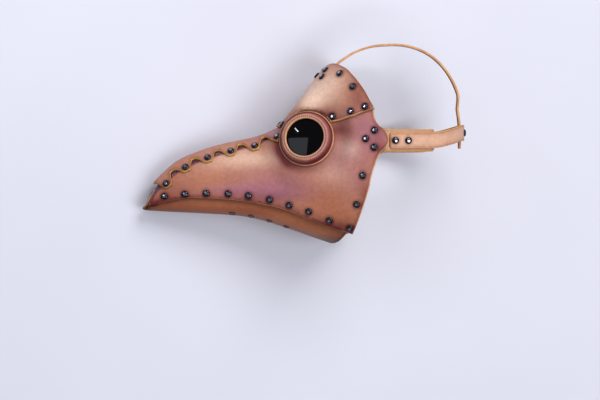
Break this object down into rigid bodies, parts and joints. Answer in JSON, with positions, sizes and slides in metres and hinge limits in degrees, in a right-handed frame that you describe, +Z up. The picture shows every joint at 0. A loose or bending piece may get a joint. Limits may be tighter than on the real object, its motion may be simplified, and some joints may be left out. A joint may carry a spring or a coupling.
{
  "type": "leather plague doctor mask",
  "caption": "Long-beaked leather face mask with dark round lenses in raised stitched rings, riveted panels, a scalloped ridge strip and head straps, empty and lying on its side.",
  "frame": {"origin": "middle of the bounding box's base, on the floor that the mask lies on", "axes": "+X from the beak's tip towards the back of the head strap, +Y towards the crown, +Z up from the floor, towards the mask's left side"},
  "size_m": [0.3952, 0.2522, 0.1713],
  "materials": {
    "leather_tan": "waxed pink-brown leather, burnished darker at its edges",
    "leather_chin": "waxed orange-brown leather",
    "leather_strap": "light tan leather with ochre cut edges",
    "rivet_metal": "polished dark nickel",
    "lens_glass": "glossy black"
  },
  "bodies": {
    "root": {"side_panel_left": "leather_tan", "side_panel_right": "leather_tan", "ridge_strip": "leather_tan", "brow_panel": "leather_tan", "chin_panel": "leather_chin", "eye_flange_left": "leather_tan", "eye_flange_right": "leather_tan", "eye_ring_left": "leather_tan", "eye_ring_right": "leather_tan", "lens_left": "lens_glass", "lens_right": "lens_glass", "strap_anchor_left": "leather_strap", "strap_anchor_right": "leather_strap", "head_strap": "leather_strap", "top_strap": "leather_strap", "jaw_rivet_1_left": "rivet_metal", "jaw_rivet_1_right": "rivet_metal", "jaw_rivet_2_left": "rivet_metal", "jaw_rivet_2_right": "rivet_metal", "jaw_rivet_3_left": "rivet_metal", "jaw_rivet_3_right": "rivet_metal", "jaw_rivet_4_left": "rivet_metal", "jaw_rivet_4_right": "rivet_metal", "jaw_rivet_5_left": "rivet_metal", "jaw_rivet_5_right": "rivet_metal", "jaw_rivet_6_left": "rivet_metal", "jaw_rivet_6_right": "rivet_metal", "jaw_rivet_7_left": "rivet_metal", "jaw_rivet_7_right": "rivet_metal", "jaw_rivet_8_left": "rivet_metal", "jaw_rivet_8_right": "rivet_metal", "jaw_rivet_9_left": "rivet_metal", "jaw_rivet_9_right": "rivet_metal", "jaw_rivet_10_left": "rivet_metal", "jaw_rivet_10_right": "rivet_metal", "back_rivet_1_left": "rivet_metal", "back_rivet_1_right": "rivet_metal", "back_rivet_2_left": "rivet_metal", "back_rivet_2_right": "rivet_metal", "tab_rivet_1_left": "rivet_metal", "tab_rivet_1_right": "rivet_metal", "tab_rivet_2_left": "rivet_metal", "tab_rivet_2_right": "rivet_metal", "tab_rivet_3_left": "rivet_metal", "tab_rivet_3_right": "rivet_metal", "brow_rivet_1_left": "rivet_metal", "brow_rivet_1_right": "rivet_metal", "brow_rivet_2_left": "rivet_metal", "brow_rivet_2_right": "rivet_metal", "brow_rivet_3_left": "rivet_metal", "brow_rivet_3_right": "rivet_metal", "brow_rivet_4_left": "rivet_metal", "brow_rivet_4_right": "rivet_metal", "brow_rivet_5_left": "rivet_metal", "brow_rivet_5_right": "rivet_metal"}
  },
  "joints": []
}
